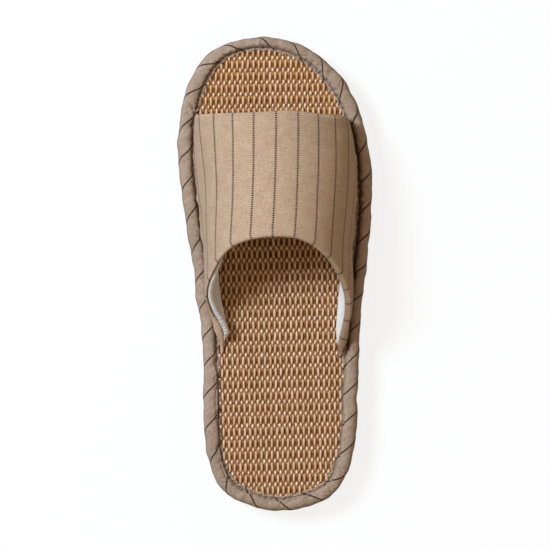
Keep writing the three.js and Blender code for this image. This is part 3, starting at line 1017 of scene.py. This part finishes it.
upper_cloth = striped_finish(
    "upper_cloth",
    Pitch=PINSTRIPE_PITCH,
    Half_Width=0.28,
    Bead=0.42,
    Low_Tone=srgb(179, 150, 123),
    High_Tone=srgb(213, 187, 160),
)
# Painted shade on the outer face: dark in the crevice at its foot, where it meets the rolled edge, and a
# little darker over the big-toe flank to dim the lamp's light there.
outer_shade = 0.6 * bell(1 - np.abs(shares), 0.012) * at_tail(shares, along_out)
outer_shade = np.maximum(outer_shade, 0.1 * eased(-shares, 0.15, 0.7))
# Painted shade on the inner half of the throat's turned edge, strongest on the big-toe side, where it
# shows as a dark line beside the lining.
medial_hem_shade = 0.3 + 0.5 * eased(-shares, 0.3, 0.5)
lateral_hem_shade = 0.25 + 0.15 * eased(shares, 0.3, 0.6)
hem_shade_start = 0.3 + 0.3 * tail_spread
hem_shade = np.where(shares < 0, medial_hem_shade, lateral_hem_shade)
hem_shade = hem_shade * eased(np.linspace(0, 1, HEM_STEPS), hem_shade_start, hem_shade_start + 0.35)
no_painted_shade = np.zeros((ARCH_LINES, INNER_STEPS + HEM_STEPS))
upper_marks = {"soil": np.concatenate([outer_shade, hem_shade, no_painted_shade], 1)}
upper = skin("upper_band", upper_rings, upper_cloth, places=upper_places, marks=upper_marks)
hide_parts("upper", "throat_tape")

# Lining: pale woven cloth sewn inside the upper, from behind the turned toe edge to under the throat's
# roll. On the big-toe side its rear edge is rolled into a plump rim. Low on both tails it is gathered into
# fine ribs, and the gathered end of the rim is painted grey as shade.
LINING_THICKNESS = 0.5
LINING_GAP = 0.1
LINING_SETBACK = 7.0
THROAT_TUCK = 1.2
RIM_RADIUS = 1.35
RIM_RISE = 0.45
RIB_HEIGHT = 0.00011
lining_front = front_along - LINING_SETBACK
medial_rim = eased(-shares, 0.4, 0.65) * (1 - eased(-shares, 0.93, 1.0))
_, throat_forward, _, throat_leaving = edge_frame(throat_along, 1)
steepness = np.clip(-np.einsum("ij,ij->i", throat_leaving, throat_forward), 0.35, 1)[:, None]
plumped = eased(-shares, 0.8, 0.9) * (1 - eased(-shares, 0.94, 0.98))
rim_radius = RIM_RADIUS * (1 + 0.05 * tail_spread + 0.12 * plumped)
rim_reach = (throat_reach + RIM_RISE - rim_radius) / steepness
lining_throat = throat_along + THROAT_TUCK - (THROAT_TUCK + rim_reach) * medial_rim
lining_steps = 1 - np.linspace(1, 0, INNER_STEPS) ** 2.2
lining_along = lining_front + (lining_throat - lining_front) * lining_steps
to_throat = lining_along - lining_throat
_, _, lining_normal = arch_frame(shares, lining_along)
gathers = np.where(shares < 0, eased(-shares, 0.8, 0.9), 0.5 * eased(shares, 0.72, 0.84))
gathers = gathers * (1 - eased(lining_along, -18.0, 2.0))
# Painted shade on the gathered end of the big-toe rim, next to the throat.
painted_gather_shade = 0.45 * gathers * (shares < 0) * bell(to_throat, 3.5)
rim = (2 * rim_radius - LINING_THICKNESS) * medial_rim * bell(to_throat, 5.5)
wall = wall_at(shares, lining_along)
behind = bell(np.clip(lining_along - throat_along, 0, None), THROAT_BLEND)
lining_depth = wall + medial_rim * (2 * throat_radius - wall) * behind + LINING_GAP
lining_depth = lining_depth - 1.5 * (1 - at_tail(shares, lining_along + 4)) - 0.1 * rim
lining_back = arch(shares, lining_along) - lining_normal * lining_depth[..., None]
lining_face = lining_back - lining_normal * (LINING_THICKNESS + rim)[..., None]
rim_turn = np.linspace(0, np.pi, HEM_STEPS)[1:-1]
rim_middle = (lining_face[:, -1] + lining_back[:, -1]) / 2
rim_half = (lining_back[:, -1] - lining_face[:, -1]) / 2
rim_out = throat_leaving * np.linalg.norm(rim_half, axis=-1, keepdims=True)
rim_round = rim_middle[:, None] - rim_half[:, None] * np.cos(rim_turn)[:, None]
rim_round += rim_out[:, None] * np.sin(rim_turn)[:, None]


def round_the_rim(face, rim, back):
    """Values over the lining's face, round its rim and back over its other side."""
    return np.concatenate([face, rim, back[:, ::-1]], 1)


lining_rings = round_the_rim(lining_face, rim_round, lining_back)
lining_rings[..., 2] += 0.5 * eased(np.abs(shares), 0.85, 1.0)
lining_values = []
for face in (cloth_place(shares, lining_along), gathers, painted_gather_shade):
    on_rim = np.repeat(face[:, -1:], HEM_STEPS - 2, axis=1)
    lining_values.append(round_the_rim(face, on_rim, face))
lining_places, gathers, painted_gather_shade = lining_values
lining_places = np.concatenate([lining_places, lining_places[:, :1]], 1)

lining_cloth, tree, shader = new_finish("lining_cloth")
place = add(tree, "ShaderNodeUVMap", {"uv_map": "cloth"}).outputs["UV"]
ground = add(tree, "ShaderNodeGroup", {"node_tree": weave}, Place=place).outputs
tint = ranged(tree, ground["Tone"], *WEAVE_TONES)
pale = graded(tree, tint, (0.0, srgb(221, 217, 211)), (1.0, srgb(245, 242, 237)))
# The painted gather shade greys the lining.
rim_shade_painted = mixed(tree, mark_of(tree, "painted_gather_shade"), pale, srgb(168, 160, 152))
rib_turn = add(
    tree, "ShaderNodeVectorMath", {"operation": "DOT_PRODUCT"}, i0=place, i1=(0.9, 3.6, 0.0)
).outputs["Value"]
strayed = reckoned(tree, "MULTIPLY_ADD", noise(tree, place, 0.4, 1.0), 9.0, rib_turn)
ribs = reckoned(tree, "MULTIPLY", reckoned(tree, "SINE", strayed), mark_of(tree, "gathers"))
ribbed = add(tree, "ShaderNodeBump", Strength=1.0, Distance=RIB_HEIGHT, Height=ribs).outputs["Normal"]
bump = add(tree, "ShaderNodeBump", **CLOTH_BUMP, Height=ground["Height"], Normal=ribbed)
dress(tree, shader, rim_shade_painted, 0.95, bump)
lining_marks = {"gathers": gathers, "painted_gather_shade": painted_gather_shade}
lining = skin("lining", lining_rings, lining_cloth, places=lining_places, marks=lining_marks)

# Floor, light and camera: a pale floor with a faint glow of its own that keeps its shadows light, a large
# soft lamp high on the toe's big-toe side, a weak one low on the little-toe side and a warmer light all
# round. The camera looks down from a little to the big-toe side.
FLOOR_HALF = 4.0
FLOOR_DROP = 0.0002
FLOOR_GLOW = 0.83
LAMP_WAY = Vector((-0.62, 0.355, 0.665)).normalized()
LAMP_DISTANCE = 3.0
LAMP_SIZE = 0.85
LAMP_POWER = 101.0
LAMP_COLOUR = (0.70, 0.83, 0.975)
FILL_WAY = Vector((0.93, -0.3, 0.2)).normalized()
FILL_POWER = 5.5
ROUND_LIGHT = 0.37
ROUND_COLOUR = (1.0, 0.765, 0.515, 1.0)
BACKDROP_LIGHT = 0.97
WHITE = (1.0, 1.0, 1.0, 1.0)
CAMERA_PLACE = Vector((-0.067, 0.020, 1.35))
CAMERA_AIM = Vector((0.0, 0.0, 0.010))
FRAME_WIDTH = 0.308
SENSOR = 36.0
floor_mesh = bpy.data.meshes.new("floor")
floor_corners = np.array([(-1, -1), (1, -1), (1, 1), (-1, 1)]) * FLOOR_HALF
floor_mesh.from_pydata([(x, y, -FLOOR_DROP) for x, y in floor_corners.tolist()], [], [(0, 1, 2, 3)])
floor = bpy.data.objects.new("floor", floor_mesh)
bpy.context.scene.collection.objects.link(floor)
floor_finish, tree, shader = new_finish("pale_floor")
shader.inputs["Base Color"].default_value = (0.17, 0.17, 0.17, 1.0)
shader.inputs["Roughness"].default_value = 0.9
shader.inputs["Emission Color"].default_value = WHITE
seen = add(tree, "ShaderNodeLightPath").outputs["Is Camera Ray"]
tree.links.new(reckoned(tree, "MULTIPLY", seen, FLOOR_GLOW), shader.inputs["Emission Strength"])
floor_mesh.materials.append(floor_finish)
floor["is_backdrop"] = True

world = bpy.data.worlds.new("studio")
bpy.context.scene.world = world
world.use_nodes = True
tree = world.node_tree
around_light = tree.nodes["Background"]
around_light.inputs["Color"].default_value = ROUND_COLOUR
around_light.inputs["Strength"].default_value = ROUND_LIGHT
backdrop = add(tree, "ShaderNodeBackground", Color=WHITE, Strength=BACKDROP_LIGHT)
seen = add(tree, "ShaderNodeLightPath").outputs["Is Camera Ray"]
both = add(tree, "ShaderNodeMixShader", i0=seen, i1=around_light.outputs[0], i2=backdrop.outputs[0])
tree.links.new(both.outputs[0], tree.nodes["World Output"].inputs["Surface"])

for lamp_name, way, power in (("lamp", LAMP_WAY, LAMP_POWER), ("fill_lamp", FILL_WAY, FILL_POWER)):
    lamp_data = bpy.data.lights.new(lamp_name, "AREA")
    lamp_data.size = LAMP_SIZE
    lamp_data.energy = power
    lamp_data.color = LAMP_COLOUR
    lamp = bpy.data.objects.new(lamp_name, lamp_data)
    lamp.location = way * LAMP_DISTANCE
    lamp.rotation_euler = (-way).to_track_quat("-Z", "Y").to_euler()
    bpy.context.scene.collection.objects.link(lamp)
bpy.context.scene.view_settings.view_transform = "Standard"

camera_data = bpy.data.cameras.new("camera")
camera = bpy.data.objects.new("camera", camera_data)
look = (CAMERA_AIM - CAMERA_PLACE).normalized()
up = (Vector((0, 1, 0)) - look * look.y).normalized()
right = look.cross(up)
turn = Matrix((right, up, -look)).transposed().to_4x4()
camera.matrix_world = Matrix.Translation(CAMERA_PLACE) @ turn
camera_data.sensor_width = SENSOR
camera_data.lens = SENSOR * (CAMERA_PLACE - CAMERA_AIM).length / FRAME_WIDTH
bpy.context.scene.collection.objects.link(camera)
bpy.context.scene.camera = camera

low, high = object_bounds()
